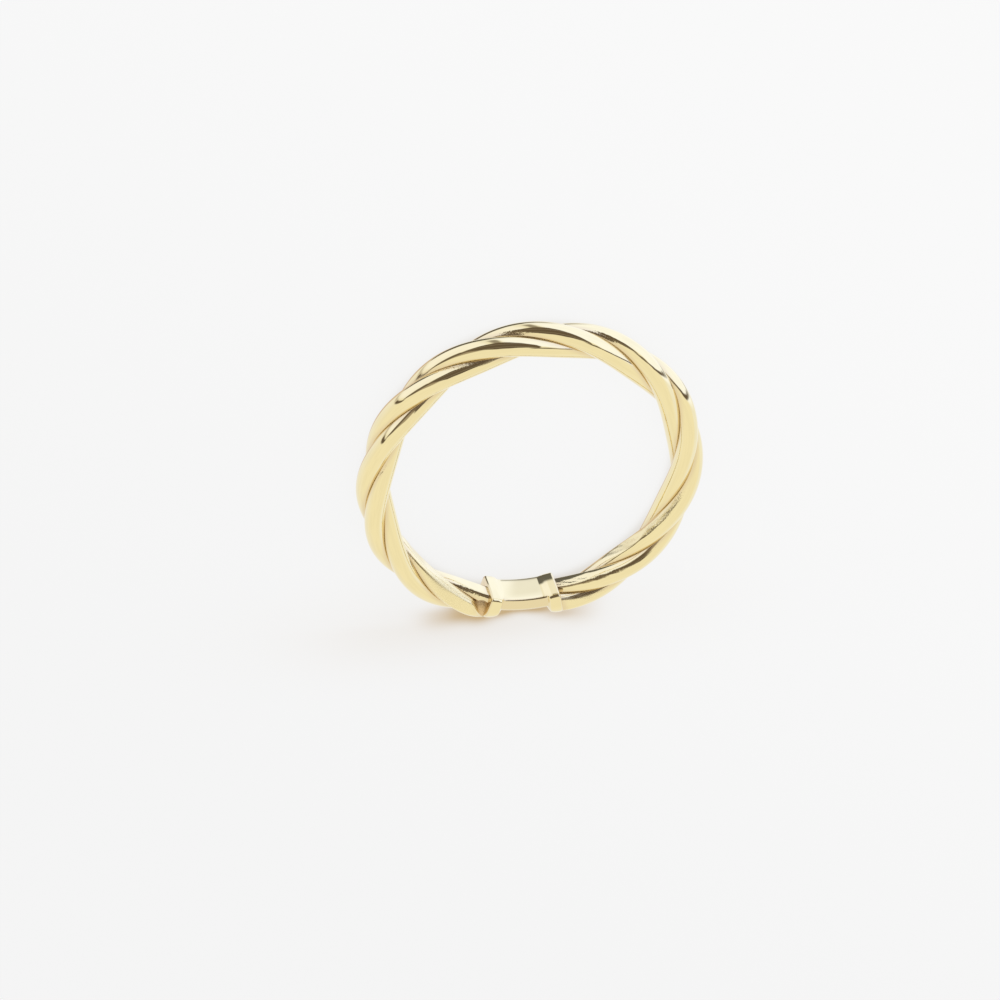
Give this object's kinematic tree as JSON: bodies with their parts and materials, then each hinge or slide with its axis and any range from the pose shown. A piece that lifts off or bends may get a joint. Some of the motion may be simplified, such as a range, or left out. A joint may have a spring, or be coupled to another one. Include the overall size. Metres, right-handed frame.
{
  "type": "rope twist ring",
  "caption": "Slim finger ring of three round wires twisted and pressed together like rope, closed by a plain curved sizing bar with a collar at each end.",
  "frame": {"origin": "on the finger axis, at the level of the ring's lowest point as it lies on its side", "axes": "+Z along the finger axis, up; +Y from the finger axis to the middle of the sizing bar; +X completes the right-handed frame"},
  "size_m": [0.0218, 0.0214, 0.0027],
  "materials": {
    "gold": "polished pale yellow gold"
  },
  "bodies": {
    "root": {"strand_1": "gold", "strand_2": "gold", "strand_3": "gold", "sizing_bar": "gold"}
  },
  "joints": []
}
